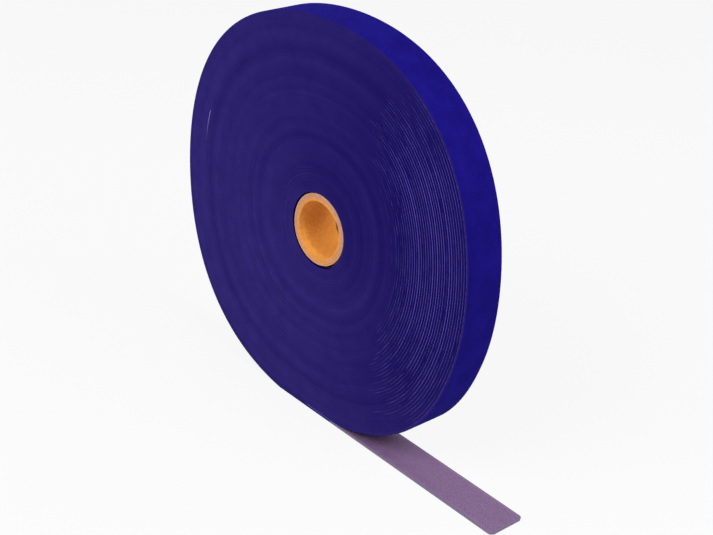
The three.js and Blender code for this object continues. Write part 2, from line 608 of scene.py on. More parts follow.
@dataclass(frozen=True)
class Tape:
    """The tape's cross section. Heights run from the tips of the hooks to the top of the loops."""

    width: float
    thickness: float
    hook_low: float = 0.24 * MM
    hook_bare: float = 0.27 * MM
    hook_high: float = 0.58 * MM
    hook_inset: float = 0.15 * MM
    loop_low: float = 0.66 * MM
    frayed_low: float = -0.06 * MM
    frayed_width: float = 0.4 * MM
    corner: float = 0.05 * MM
    edge_swell: float = 0.04 * MM

    def section(
        self,
        low: float,
        high: float,
        inset: float = 0.0,
        frayed: bool = False,
        cells: tuple[int, int] = (1, 1),
        belly: float = 0.0,
    ) -> Section:
        """The outline of a web cut across, with cut corners and swelling edges.

        Args:
            low: The height of its inner face.
            high: The height of its outer face.
            inset: How far its edges stand in from the tape's edges.
            frayed: Whether yarns at its edges reach inwards over the other web's edges.
            cells: The number of strips in its inner face and in its outer face.
            belly: How far the middle of its inner face stands out.

        Returns:
            Pairs of the place across the tape and the height, in order round the section.
        """
        half = self.width / 2 - inset
        side = half - self.edge_swell
        corner = min(self.corner, (high - low) / 3)
        upper_half = side - corner
        lower_half = half - self.frayed_width if frayed else upper_half
        tip = self.frayed_low if frayed else low + corner
        shares = [2 * cell / cells[0] - 1 for cell in range(cells[0] + 1)]
        lower = [(lower_half * share, low - belly * (1 - abs(share))) for share in shares]
        upper = [(upper_half * (1 - 2 * cell / cells[1]), high) for cell in range(cells[1] + 1)]
        right = [(side, tip), (half, (tip + high) / 2), (side, high - corner)]
        left = [(-across, height) for across, height in reversed(right)]
        return lower + right + upper + left

    def at_edge(self, inset: float) -> Callable[[Vector], float]:
        """What tells the slit edges of a web, as one, from its faces, as nought."""
        bound = self.width / 2 - inset - self.edge_swell - self.corner / 2
        return lambda point: float(abs(point.y) > bound)


@dataclass(frozen=True)
class RollForm:
    """The roll's slightly square side view, and where a turn lies in it."""

    core: Vector
    core_radius: float
    middle: Vector
    tape: Tape
    radius: float = 99 * MM
    pressed_flat: float = 1.8 * MM
    flat_sides: int = 4
    flat_turn: float = 4 * DEG
    sag: float = 2.3 * MM
    sag_begins: float = -92 * DEG
    sag_full: float = -74 * DEG
    sag_fades: float = -50 * DEG
    sag_ends: float = -20 * DEG
    foot_fade: int = 4
    first_gap: float = 0.5 * MM
    start: float = 0.1
    start_gap: float = 0.2 * MM
    start_press: float = 0.5
    start_length: float = 0.25
    climb: float = 0.4
    slack: float = 1.3 * MM
    slack_turn: float = 225 * DEG
    evened_turns: float = 10.0
    turns: int = 55

    @property
    def pitch(self) -> float:
        """How far the tape climbs in a turn."""
        return (self.radius - self.tape.thickness - self.core_radius - self.first_gap) / self.turns

    def sagged(self, angle: float) -> float:
        """How far the roll hangs out at an angle. It hangs low down on the free end's side.

        Args:
            angle: The angle from +X towards +Z.

        Returns:
            The distance.
        """
        turn = math.remainder(angle, math.tau)
        begun = eased((turn - self.sag_begins) / (self.sag_full - self.sag_begins))
        faded = eased((turn - self.sag_fades) / (self.sag_ends - self.sag_fades))
        return self.sag * begun * (1 - faded)

    def place(self, radius: float, angle: float, across: float) -> Vector:
        """Where a point of the winding lies.

        Args:
            radius: Its distance from the middle before the roll is pressed.
            angle: Its angle from +X towards +Z.
            across: Its place across the tape.

        Returns:
            The point.
        """
        share = (radius - self.core_radius) / (self.radius - self.core_radius)
        flat = self.pressed_flat * math.cos(self.flat_sides * (angle - self.flat_turn)) - self.sagged(angle)
        pressed = radius - share * flat
        sunk = -math.sin(angle) * (self.radius - flat) - self.middle.z
        if sunk > 0:
            pressed += share**self.foot_fade * sunk / math.sin(angle)
        centre = self.core.lerp(self.middle, share)
        return centre + Vector((pressed * math.cos(angle), across, pressed * math.sin(angle)))

    def angle_at(self, turn: float) -> float:
        """The angle of a point of the winding."""
        return math.tau * (turn - BOTTOM_TURN)

    def radius_at(self, turn: float, height: float) -> float:
        """The radius of a point of the winding before the roll is pressed.

        The first turn hugs the core, a little slack on one side, and climbs over the tape's pressed start
        at its end. Further out the climb evens out.

        Args:
            turn: How many turns lie before the point.
            height: Its height in the tape's thickness.

        Returns:
            The radius.
        """
        whole, part = divmod(turn - self.start, 1.0)
        thinned = 1 - eased(part / self.start_length)
        climbed = whole + (1 - self.start_press) * eased((part - 1) / self.climb + 1)
        if whole > 0:
            climbed -= self.start_press * thinned
        else:
            height *= 1 - self.start_press * thinned
        slack = self.slack * (1 + math.cos(self.angle_at(turn) - self.slack_turn)) / 2
        hugging = self.start_gap + slack + self.pitch * climbed
        even = self.first_gap + self.pitch * turn
        share = eased(turn / self.evened_turns)
        return self.core_radius + hugging + (even - hugging) * share + height

    def core_height(self, turn: float) -> float:
        """The height at which the core lies under a point of the first turn. It is below nought."""
        foot, top = self.radius_at(turn, 0.0), self.radius_at(turn, self.tape.thickness)
        return (self.core_radius - foot) * self.tape.thickness / (top - foot)

    def on_tape(self, turn: float, across: float, height: float) -> Vector:
        """Where a point of the tape lies: wound up to the last turn, and flat on the floor after it.

        Args:
            turn: How many turns lie before the point.
            across: Its place across the tape.
            height: Its height in the tape's thickness.

        Returns:
            The point.
        """
        if turn > self.turns:
            past = (turn - self.turns) * math.tau * self.radius
            return Vector((past, across, self.tape.thickness - height))
        return self.place(self.radius_at(turn, height), self.angle_at(turn), across)

    def turn_at(self, length: float) -> float:
        """The turn of a point that lies that far along the floor."""
        return self.turns + length / (math.tau * self.radius)


@dataclass(frozen=True)
class Drift:
    """A value that wanders up and down along the tape."""

    amount: float
    rate: float
    lane: float

    def at(self, turn: float) -> float:
        """How far the value has wandered at a turn."""
        return self.amount * noise.noise(Vector((turn * self.rate, self.lane, 0.0)))


@dataclass(frozen=True)
class Lumps:
    """Lumps of one size in the nap."""

    amount: float
    size: float
    lane: float

    def at(self, along: float, across: float) -> float:
        """How high the lumps stand at a place on the tape."""
        return self.amount * noise.noise(Vector((along / self.size, across / self.size, self.lane)))


@dataclass(frozen=True)
class Web:
    """One of the tape's two webs, as it is wound: where its points lie, and how pale its slit edges are."""

    slot: Slot
    at: Place
    tone: Callable[[float], float]


@dataclass(frozen=True)
class Winding:
    """The turns of both webs on the core, down to where the free end starts."""

    form: RollForm
    root: float
    spans: int = 12
    steps: int = 10
    outer_steps: int = 60
    outer_cells: int = 30
    true_run: float = 0.5
    wanders: tuple[Drift, ...] = (Drift(0.2 * MM, 0.23, 3.1), Drift(0.06 * MM, 0.94, 7.7))
    core_tone: float = 0.36
    rim_tone: float = 0.44
    # Painted highlight along the outermost turn's edge on the free end's side.
    rim_edge_highlight: float = 0.5
    # Painted light and shade: the slit edges are paler on one side of the roll and darker on the other.
    lit_side_tone: float = 0.17
    lit_side_turn: float = 222 * DEG
    tones: tuple[Drift, ...] = (Drift(0.16, 0.31, 1.9), Drift(0.08, 1.3, 5.3))
    edge_fuzz: float = 0.05 * MM
    fuzz_length: float = 1.5 * MM
    fuzz_lane: float = 5.0
    hook_recess: float = 0.5 * MM
    first_recess: float = 3 * MM
    hook_grip: float = 0.5 * MM
    grip_width: float = 1 * MM
    grip_cells: int = 4
    rubbed_from: float = 20 * MM
    bared_turn: float = 15 * DEG
    bared_hold: float = 15 * DEG
    bared_above: float = 75 * DEG
    bared_below: float = 115 * DEG
    bared_radius: float = 38 * MM
    bared_fade: float = 25 * MM
    bared_mean: float = 0.8
    bared_least: float = 0.3
    bared_drift: Drift = Drift(0.35, 1.7, 11.3)
    yarn_hold: float = 0.4
    pale_from: float = 0.25
    nap: float = 0.1 * MM
    nap_mean: float = 0.5
    naps: tuple[Lumps, ...] = (Lumps(0.3, 1.1 * MM, 1.0), Lumps(0.2, 4 * MM, 2.0))

    def wander(self, turn: float) -> float:
        """How far the tape strays sideways. The last half turn runs true."""
        loose = eased((self.form.turns - turn) / self.true_run)
        return loose * sum(drift.at(turn) for drift in self.wanders)

    def tone(self, turn: float) -> float:
        """How pale the loop web's slit edges are at a turn.

        They are paler towards the rim, paler towards the lower side away from the free end and darker on the
        upper side as painted light and shade, and deep where hooks are bared.
        The outermost turn gets a painted highlight there instead, a pale line along the rim's edge.

        Args:
            turn: How many turns lie before the place.

        Returns:
            A share from 0 to 1.
        """
        even = self.core_tone + (self.rim_tone - self.core_tone) * turn / self.form.turns
        # Painted light on the lower side away from the free end, painted shade on the upper side.
        lit_side = self.lit_side_tone * math.cos(self.form.angle_at(turn) - self.lit_side_turn)
        bared = self.bared(turn)
        # Painted highlight: the outermost turn's edges are made pale where the hooks are bared.
        rubbed = self.rim_edge_highlight * bared if turn >= self.form.turns - 1 else 0.0
        return (even + lit_side + sum(drift.at(turn) for drift in self.tones)) * (1 - bared) + rubbed

    def bared(self, turn: float) -> float:
        """How far the hook web's edges are bared at a turn.

        They show on the side of the free end, and fade sooner above than below.

        Args:
            turn: How many turns lie before the place.

        Returns:
            A share from 0 to 1.
        """
        if turn > self.form.turns:
            return 1.0
        aside = math.remainder(self.form.angle_at(turn) - self.bared_turn, math.tau)
        reach = self.bared_above if aside > 0 else self.bared_below
        facing = 1 - eased((abs(aside) - self.bared_hold) / (reach - self.bared_hold))
        outwards = eased((self.form.radius_at(turn, 0.0) - self.bared_radius) / self.bared_fade)
        uneven = self.bared_mean + self.bared_drift.at(turn)
        return facing * outwards * min(max(uneven, self.bared_least), 1.0)

    def paled(self, turn: float) -> float:
        """How pale the hook web's slit edges are at a turn, from 0 to 1. They fade in from the pile, and
        elsewhere keep the deep slit colour, which is partly painted shade of the groove.
        """
        return eased((self.bared(turn) - self.pale_from) / (1 - self.pale_from))

    def fuzz(self, turn: float, across: float) -> float:
        """How far a loop web's slit edge bulges at a point."""
        along = turn * math.tau * self.form.radius / self.fuzz_length
        return self.edge_fuzz * noise.noise(Vector((along, math.copysign(self.fuzz_lane, across), 0.0)))

    def loops_at(self, turn: float, across: float, height: float) -> Vector:
        """A point of the loop web in its place, with its nap and its frayed edges.

        Args:
            turn: How many turns lie before the point.
            across: Its place across the tape.
            height: Its height in the tape's thickness.

        Returns:
            The point.
        """
        tape = self.form.tape
        length = turn * math.tau * self.form.radius
        if height < tape.loop_low:
            bare = eased((self.bared(turn) - self.yarn_hold) / (1 - self.yarn_hold))
            height += (tape.loop_low - height) * bare
        if height > tape.thickness - tape.corner / 2:
            height -= self.nap * (self.nap_mean + sum(lumps.at(length, across) for lumps in self.naps))
        strayed = across + self.wander(turn) + math.copysign(1.0, across) * self.fuzz(turn, across)
        return self.form.on_tape(turn, strayed, height)

    def hooks_at(self, turn: float, across: float, height: float) -> Vector:
        """A point of the hook web in its place.

        Its edges stand back wherever yarns cover them. Those of the first turn stand further back, and its
        middle reaches down to the core.

        Args:
            turn: How many turns lie before the point.
            across: Its place across the tape.
            height: Its height in the tape's thickness.

        Returns:
            The point.
        """
        form, tape = self.form, self.form.tape
        if turn > form.turns:
            return form.on_tape(turn, across, max(height, tape.hook_bare))
        recess = self.hook_recess
        if turn < form.start + 1:
            recess = self.first_recess
            if height < tape.hook_low and abs(across) < self.grip_width:
                height = min(height, form.core_height(turn))
        bare = eased(self.bared(turn) / self.yarn_hold)
        shift = bare * tape.hook_inset - (1 - bare) * recess
        share = 1 + shift / (tape.width / 2)
        return form.on_tape(turn, across * share + self.wander(turn), height)

    def wind(self, web: Web, section: Section, first: float, last: float, steps: int) -> tuple[BMesh, float]:
        """Winds a stretch of one web.

        Args:
            web: The web.
            section: Its section.
            first: The turn where the stretch starts.
            last: The turn where it ends.
            steps: How many steps a span of the strip has.

        Returns:
            The mesh, and the length of the stretch.
        """
        tape = self.form.tape
        spans = math.ceil((last - first) * self.spans)
        stations = spans * steps
        bm = straight_strip(section, spans, steps)

        def turn(station: float) -> float:
            """The turn of a station."""
            return first + (last - first) * station / stations

        at_edge = tape.at_edge(tape.width / 2 - max(across for across, height in section))
        rubbed = self.form.turn_at(self.rubbed_from)
        mark(bm, "edge", at_edge)
        mark(bm, "worn", lambda point: at_edge(point) * (turn(point.x) > rubbed))
        mark(bm, "tone", lambda point: web.tone(turn(point.x)))
        move_points(bm, lambda point: web.at(turn(point.x), point.y, point.z))
        turns = [turn(station) for station in range(stations + 1)]
        middle = [self.form.on_tape(passed, 0.0, tape.thickness / 2) for passed in turns]
        return bm, sum((b - a).length for a, b in zip(middle, middle[1:]))

    def build(self, finishes: Finishes) -> list[Piece]:
        """Makes the wound webs and fits them to the roll.

        Args:
            finishes: The finishes by their slots.

        Returns:
            The pieces.
        """
        form, tape = self.form, self.form.tape
        end = form.turn_at(self.root)
        outer = float(form.turns - 1)
        plain = tape.section(tape.loop_low, tape.thickness, frayed=True)
        napped = tape.section(tape.loop_low, tape.thickness, frayed=True, cells=(1, self.outer_cells))
        hooked = tape.section(
            tape.hook_low, tape.hook_high, tape.hook_inset, cells=(self.grip_cells, 1), belly=self.hook_grip
        )
        loops = Web(Slot.LOOP, self.loops_at, self.tone)
        hooks = Web(Slot.HOOK, self.hooks_at, self.paled)
        stretches = (
            ("wound_loops", loops, plain, form.start, outer, self.steps),
            ("outer_turn_loops", loops, napped, outer, end, self.outer_steps),
            ("wound_hooks", hooks, hooked, form.start, end, self.steps),
        )
        pieces = []
        for name, web, section, first, last, steps in stretches:
            bm, length = self.wind(web, section, first, last, steps)
            piece = fit_to_roll(make_piece(name, bm, finishes[web.slot]), web.slot)
            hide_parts(f"wound_{web.slot.value}")
            pieces.append(piece)
        return pieces


@dataclass(frozen=True)
class LiftedEdge:
    """A sliver of the hook web's edge that has come loose and stands off the roll's front side."""

    winding: Winding
    first: float = 46.696
    last: float = 46.728
    steps: int = 24
    lift: float = 0.45 * MM
    lift_start: float = 0.2
    lift_rise: float = 8.0
    thinned: float = 0.3
    depth: float = 0.35 * MM
    low: float = 0.1 * MM
    high: float = 0.65 * MM

    def build(self, finish: Finish) -> Piece:
        """Makes the sliver, lifted most where it starts, and fits it to the roll.

        Args:
            finish: What it is coated with.

        Returns:
            The piece.
        """
        front = -self.winding.form.tape.width / 2
        middle = (self.low + self.high) / 2
        bm = straight_strip([(self.depth, self.low), (self.depth, self.high), (0.0, middle)], 1, self.steps)

        def at(point: Vector) -> Vector:
            """A point of the sliver on the roll.

            Args:
                point: The point on the straight strip.

            Returns:
                Its place.
            """
            share = point.x / self.steps
            turn = self.first + (self.last - self.first) * share
            left = (1 - share) * eased(self.lift_rise * share + self.lift_start)
            across = front + point.y - self.lift * left + self.winding.wander(turn)
            height = middle + (point.z - middle) * (self.thinned + (1 - self.thinned) * left)
            return self.winding.form.on_tape(turn, across, height)

        move_points(bm, at)
        return fit_to_roll(make_piece("lifted_edge", bm, finish), Slot.HOOK)


@dataclass(frozen=True)
class BrushedFibres:
    """Single loops of yarn that stand up from the nap round the rim."""

    winding: Winding
    doublings: int = 11
    radius: float = 0.34 * MM
    yarn: float = 0.045 * MM
    sides: int = 3
    steps: int = 5
    sunk: float = 0.12 * MM
    margin: float = 0.5 * MM
    foot: float = 0.04
    ahead: float = 0.001
    lean: float = 0.9

    def loop(self) -> BMesh:
        """One loop, standing on the origin in the XZ plane.

        Returns:
            Its mesh.
        """
        bm = bmesh.new()
        ring = []
        for side in range(self.sides):
            turn = math.tau * side / self.sides
            out, up = self.yarn * math.cos(turn), self.yarn * math.sin(turn)
            ring.append(bm.verts.new((self.radius + out, up, 0.0)))
        foot = bm.faces.new(ring)
        sweep(bm, [foot, *foot.edges, *ring], self.steps, axis=(0, -1, 0), angle=math.pi)
        return bm

    def stands(self, draw: random.Random) -> Matrix:
        """Where one loop stands, turned and leaning at random.

        Args:
            draw: The source of random numbers.

        Returns:
            The matrix that puts a loop there.
        """
        form = self.winding.form
        half = form.tape.width / 2 - self.margin
        turn = form.turns - 1 + self.foot + (1 - 2 * self.foot) * draw.random()
        across = draw.uniform(-half, half)
        height = form.tape.thickness - self.sunk
        at, ahead = (form.on_tape(turn + step, across, height) for step in (0.0, self.ahead))
        along = (ahead - at).normalized()
        out = along.cross(Vector((0, 1, 0))).normalized()
        upright = Matrix((along, out.cross(along), out)).transposed()
        spun = Matrix.Rotation(draw.uniform(0, math.tau), 3, "Z")
        leaning = Matrix.Rotation(draw.uniform(-self.lean, self.lean), 3, "X")
        return Matrix.Translation(at) @ (upright @ spun @ leaning).to_4x4()

    def build(self, finish: Finish) -> Piece:
        """Scatters the loops round the rim and fits them to the roll.

        Args:
            finish: The pile.

        Returns:
            The piece.
        """
        draw = random.Random(SEED)
        bm = self.loop()
        points = len(bm.verts)
        for _ in range(self.doublings):
            bmesh.ops.duplicate(bm, geom=everything(bm))
        stands = [self.stands(draw) for _ in range(2**self.doublings)]
        for number, vertex in enumerate(bm.verts):
            vertex.co = stands[number // points] @ vertex.co
        return fit_to_roll(make_piece("rim_fibres", bm, finish), Slot.LOOP)


@dataclass(frozen=True)
class Hook:
    """One moulded hook: a flat stem that curls over at its top."""

    height: float
    along: float = 0.09 * MM
    across: float = 0.2 * MM
    curl: float = 0.07 * MM
    curl_angle: float = 150 * DEG
    curl_steps: int = 4
    sunk: float = 0.05 * MM

    def build(self) -> BMesh:
        """Makes the hook, standing on the origin and curling towards +X.

        Returns:
            Its mesh.
        """
        bm = bmesh.new()
        stem = self.height - self.curl - self.along
        half = self.across / 2
        foot = [(0.0, -half), (0.0, half), (self.along, half), (self.along, -half)]
        face = bm.faces.new([bm.verts.new((x, y, -self.sunk)) for x, y in foot])
        raised = bmesh.ops.extrude_face_region(bm, geom=[face], use_keep_orig=True)["geom"]
        bmesh.ops.translate(bm, vec=(0, 0, stem + self.sunk), verts=points_of(raised))
        top = next(part for part in raised if isinstance(part, bmesh.types.BMFace))
        middle = (self.along + self.curl, 0, stem)
        parts = [top, *top.edges, *top.verts]
        sweep(bm, parts, self.curl_steps, cent=middle, axis=(0, 1, 0), angle=self.curl_angle)
        return bm


@dataclass(frozen=True)
class HookField:
    """Rows of hooks on a stretch of the tape, each row curling the other way from its neighbours."""

    tape: Tape
    pitch: float = 0.84 * MM
    row_pitch: float = 0.78 * MM
    selvedge: float = 1.2 * MM

    def build(self, start: float, end: float) -> BMesh:
        """Fills the tape from start to end along the floor with hooks.

        Args:
            start: Where the field starts along X.
            end: Where it ends.

        Returns:
            The hooks, in place.
        """
        tape = self.tape
        columns = max(1, round((end - start) / self.pitch))
        pitch = (end - start) / columns
        rows = math.floor((tape.width - 2 * self.selvedge) / self.row_pitch / 2)
        first = -(2 * rows - 1) / 2 * self.row_pitch
        field = bmesh.new()
        for parity, turn in enumerate((0.0, math.pi)):
            bm = Hook(tape.hook_bare).build()
            bmesh.ops.rotate(bm, cent=(0, 0, 0), matrix=Matrix.Rotation(turn, 3, "Z"), verts=bm.verts[:])
            corner = (start + pitch / 2, first + parity * self.row_pitch, tape.thickness - tape.hook_bare)
            bmesh.ops.translate(bm, vec=corner, verts=bm.verts[:])
            for step, count in (((pitch, 0, 0), columns), ((0, 2 * self.row_pitch, 0), rows)):
                sweep(bm, everything(bm), count - 1, dvec=step, use_duplicate=True)
            rows_mesh = bpy.data.meshes.new("hook_rows")
            bm.to_mesh(rows_mesh)
            bm.free()
            field.from_mesh(rows_mesh)
            bpy.data.meshes.remove(rows_mesh)
        return field


@dataclass(frozen=True)
class FreeEnd:
    """The free end of the tape, in stretches from the middle of one link to the middle of the next."""

    winding: Winding
    hinges: tuple[float, ...]
    end: float
    corner: float = 1.8 * MM
    hook_rub: float = 1.0 * MM
    loop_rub: float = 0.12 * MM
    stations: int = 24
    cells: int = 24
    hook_margin: float = 0.6 * MM
    first_hooks: float = 27 * MM

    def laid(self, start: float, stop: float, at: Place) -> Callable[[Vector], Vector]:
        """What lays a straight strip on the floor from start to stop, with the tape's end corners rounded.

        Args:
            start: Where the strip starts along X.
            stop: Where it ends.
            at: What gives the place of a point from its turn, its place across and its height.

        Returns:
            The function that moves a point of the strip.
        """
        form = self.winding.form
        half = form.tape.width / 2

        def place(point: Vector) -> Vector:
            """A point of the strip on the floor.

            Args:
                point: The point on the straight strip.

            Returns:
                Its place.
            """
            length = start + (stop - start) * point.x / self.stations
            past = max(0.0, length - (self.end - self.corner))
            trim = self.corner - math.sqrt(max(0.0, self.corner**2 - past**2))
            return at(form.turn_at(length), point.y * (half - trim) / half, point.z)

        return place

    def rubbed(self, start: float, stop: float, border: float) -> Callable[[Vector], float]:
        """What tells the worn border of a strip, as one, from the rest of it.

        Args:
            start: Where the strip starts along X.
            stop: Where it ends.
            border: How wide the border is.

        Returns:
            The function that measures a point of the strip.
        """
        side = self.winding.form.tape.width / 2 - border
        along = (self.end - border - start) / (stop - start) * self.stations
        return lambda point: float(abs(point.y) > side or point.x > along)

    def build_stretch(self, number: int, start: float, stop: float, finishes: Finishes) -> list[Piece]:
        """Makes one stretch.

        Args:
            number: Its number.
            start: Where it starts along X.
            stop: Where it ends.
            finishes: The finishes by their slots.

        Returns:
            Its hooks, its loop web and the backing that the hooks stand on.
        """
        tape, winding = self.winding.form.tape, self.winding
        margin = self.hook_margin if stop == self.end else 0.0
        hooks = HookField(tape).build(max(start, self.first_hooks), stop - margin)
        pieces = [make_piece(f"tail_hooks_{number}", hooks, finishes[Slot.HOOK])]
        loop_section = tape.section(tape.loop_low, tape.thickness, cells=(1, self.cells))
        hook_section = tape.section(tape.hook_bare, tape.hook_high, tape.hook_inset, cells=(self.cells, 1))
        webs = (
            ("loops", Slot.LOOP, loop_section, 0.0, self.loop_rub, winding.loops_at),
            ("backing", Slot.HOOK, hook_section, tape.hook_inset, self.hook_rub, winding.hooks_at),
        )
        for kind, slot, section, inset, rub, at in webs:
            bm = straight_strip(section, 1, self.stations)
            mark(bm, "edge", tape.at_edge(inset))
            mark(bm, "worn", self.rubbed(start, stop, rub))
            move_points(bm, self.laid(start, stop, at))
            pieces.append(make_piece(f"tail_{kind}_{number}", bm, finishes[slot]))
        return pieces

    def build(self, finishes: Finishes) -> list[Piece]:
        """Makes the stretches, and hides the frame's tail webs of the links that each stretch covers.

        Args:
            finishes: The finishes by their slots.

        Returns:
            The pieces.
        """
        reach = self.hinges[0] - self.winding.root
        made = []
        for number, hinge in enumerate(self.hinges, 1):
            start = hinge - reach
            stop = hinge + reach if number < len(self.hinges) else self.end
            hooks, loops, backing = self.build_stretch(number, start, stop, finishes)
            flat = (self.winding.form.tape.width, stop - start)
            links = range(max(1, number - 1), number + 1)
            bend = (hinge if number == 1 else start, 0, 0), (hinge + reach, 0, 0)
            for piece, slot in ((hooks, Slot.HOOK), (loops, Slot.LOOP), (backing, Slot.HOOK)):
                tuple(bend[0])
                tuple(bend[1])
                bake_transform(piece)
                if piece is not hooks:
                    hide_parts(*(f"tail_{slot.value}_{near}" for near in links))
                made.append(piece)
        return made


@dataclass(frozen=True)
class Peel:
    """A stretch of the core's liner that has come loose at one end of the bore."""

    end: int
    middle: float
    spread: float
    drawn: float
    depth: float

    def share(self, from_end: float, turn: float) -> float:
        """How loose the liner is, from 0 to 1, at a place so far from the end and so far round."""
        aside = abs(math.remainder(turn - self.middle, math.tau))
        return eased(1 - from_end / self.depth) * eased(1 - aside / self.spread)


FRONT_PEEL = Peel(end=-1, middle=26 * DEG, spread=18 * DEG, drawn=0.42 * MM, depth=5 * MM)
BACK_PEEL = Peel(end=1, middle=215 * DEG, spread=50 * DEG, drawn=1.5 * MM, depth=12 * MM)


@dataclass(frozen=True)
class PaperCore:
    """The paperboard core: plies wound in a spiral, with soft cut ends and a liner that has come loose."""

    centre: Vector
    radius: float
    width: float
    wall: float = 3.5 * MM
    plies: int = 5
    liner: float = 0.35 * MM
    groove: float = 0.07 * MM
    groove_depth: float = 0.16 * MM
    ply_step: float = 0.08 * MM
    steps: int = 240
    bore_cells: int = 48
    seam_lead: float = 62 * MM
    seam_turn: float = 28 * DEG
    seam_width: float = 0.4 * MM
    seam_depth: float = 0.15 * MM
    seam_shade: float = 0.6
    split_depth: float = 0.8
    cut_fade: float = 2.2 * MM
    cut_bottom_fade: float = 0.45
    crease: float = 35.0
    flare: float = 0.9 * MM
    flare_turn: float = 240 * DEG
    flare_depth: float = 3 * MM

    @property
    def bore(self) -> float:
        """The bore's radius."""
        return self.radius - self.wall

    @property
    def ply_edges(self) -> list[float]:
        """The radii of the faces of the plies, from the bore outwards. The innermost is a thin liner."""
        ply = (self.wall - self.liner) / (self.plies - 1)
        return [self.bore] + [self.bore + self.liner + ply * number for number in range(self.plies)]

    def out(self, point: Vector) -> float:
        """A point's distance from the core's axis."""
        return math.hypot(point.x - self.centre.x, point.z - self.centre.z)

    def turn(self, point: Vector) -> float:
        """A point's angle round the core's axis."""
        return math.atan2(point.z - self.centre.z, point.x - self.centre.x)

    def cut_share(self, point: Vector) -> float:
        """How far a point is on a pale cut end. It is less pale at the end's inner edge and towards its
        bottom.

        Args:
            point: The point, before the core is worn.

        Returns:
            A share from 0 to 1.
        """
        if abs(point.y) < self.width / 2 - self.groove_depth - self.ply_step:
            return 0.0
        # Less pale towards the bottom of the end.
        rubbed = self.cut_bottom_fade * max(0.0, -math.sin(self.turn(point)))
        return eased((self.out(point) - self.bore) / self.cut_fade) * (1 - rubbed)

    def end_profile(self, side: int, draw: random.Random) -> list[tuple[float, float]]:
        """One cut end, whose plies stand out unevenly.

        Args:
            side: One for the back, and minus one for the front.
            draw: The source of random numbers.

        Returns:
            Pairs of radius and place along the axis, from the bore outwards.
        """
        face = self.width / 2
        points = []
        for low, high in zip(self.ply_edges, self.ply_edges[1:]):
            level = side * (face - self.ply_step * draw.random())
            points += [(low + self.groove, level), (high - self.groove, level)]
            points.append((high, side * (face - self.groove_depth)))
        return points[:-1]

    def seam_share(self, point: Vector) -> float:
        """How close a point of the bore is to the slanting seam.

        Args:
            point: The point, before the core is worn.

        Returns:
            A share from 0 to 1.
        """
        if self.out(point) > self.bore + self.groove / 2:
            return 0.0
        along = (point.y + self.width / 2) / self.seam_lead * math.tau
        near = math.remainder(self.turn(point) - self.seam_turn - along, math.tau) * self.bore
        return eased(1 - abs(near) / self.seam_width)

    def loose_share(self, point: Vector, peel: Peel) -> float:
        """How loose the liner is at a point for one peel, from 0 to 1."""
        return peel.share(self.width / 2 - peel.end * point.y, self.turn(point))

    def in_split(self, point: Vector) -> bool:
        """Whether a point is at the bottom of the front groove behind the liner."""
        return point.y < 0 and abs(self.out(point) - self.bore - self.liner) < self.groove / 2

    def seam_and_split_shadow_share(self, point: Vector) -> float:
        """How dark a point is along the seam, and the painted shadow in the split behind the loose liner.

        Args:
            point: The point, before the core is worn.

        Returns:
            A share from 0 to 1.
        """
        # Painted shadow: the split behind the loose front liner takes the full dark colour.
        if self.bore + self.liner / 2 < self.out(point) < self.bore + self.liner + 2 * self.groove:
            return self.loose_share(point, FRONT_PEEL)
        return self.seam_shade * self.seam_share(point)

    def flared(self, point: Vector) -> float:
        """How far the front end is bent out of round at a point."""
        towards = max(0.0, math.cos(self.turn(point) - self.flare_turn))
        return self.flare * towards**2 * eased(1 - (self.width / 2 + point.y) / self.flare_depth)

    def worn(self, point: Vector) -> Vector:
        """A point, dented along the seam, bent out at the front and drawn in where the liner is loose.

        Args:
            point: The point, before the core is worn.

        Returns:
            Its place on the worn core.
        """
        away = (point - self.centre) * Vector((1, 0, 1)) / self.out(point)
        moved = point + away * self.flared(point)
        if self.in_split(point):
            opened = self.split_depth * FRONT_PEEL.depth * self.loose_share(point, FRONT_PEEL)
            return moved + Vector((0, opened, 0))
        moved += away * self.seam_depth * self.seam_share(point)
        if self.out(point) < self.bore + self.liner - self.groove / 2:
            peels = (FRONT_PEEL, BACK_PEEL)
            moved -= away * sum(peel.drawn * self.loose_share(point, peel) for peel in peels)
        return moved

    def build(self, finish: Finish) -> Piece:
        """Makes the core and fits it to the roll.

        Args:
            finish: The board.

        Returns:
            The piece.
        """
        draw = random.Random(SEED)
        half = self.width / 2
        front, back = self.end_profile(-1, draw), self.end_profile(1, draw)
        rim = 2 * self.groove
        outside = [(self.radius, along) for along in (rim - half, self.flare_depth - half, half - rim)]
        shares = [1 - 2 * cell / self.bore_cells for cell in range(self.bore_cells + 1)]
        inside = [(self.bore, (half - rim) * share) for share in shares]
        profile = front + outside + back[::-1] + inside
        bm = bmesh.new()
        ring = [bm.verts.new(self.centre + Vector((radius, along, 0.0))) for radius, along in profile]
        edges = [bm.edges.new(pair) for pair in zip(ring, ring[1:] + ring[:1])]
        turned = {"cent": self.centre, "axis": (0, 1, 0), "angle": math.tau, "use_merge": True}
        sweep(bm, ring + edges, self.steps, **turned)
        mark(bm, "edge", self.cut_share)
        # Dark seams, and painted shadow in the split behind the loose liner.
        mark(bm, "seam", self.seam_and_split_shadow_share)
        move_points(bm, self.worn)
        piece = fit_to_roll(make_piece("paper_core", bm, finish, self.crease), Slot.PAPERBOARD)
        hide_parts("core_tube")
        return piece


@dataclass(frozen=True)
class Lamp:
    """A round soft lamp, aimed at the roll."""

    name: str
    azimuth: float
    elevation: float
    distance: float
    size: float
    power: float


LAMPS = (
    Lamp("key_lamp", azimuth=95 * DEG, elevation=43 * DEG, distance=1.2, size=0.8, power=10.4),
    Lamp("front_lamp", azimuth=-5 * DEG, elevation=42 * DEG, distance=1.4, size=0.9, power=14.5),
)


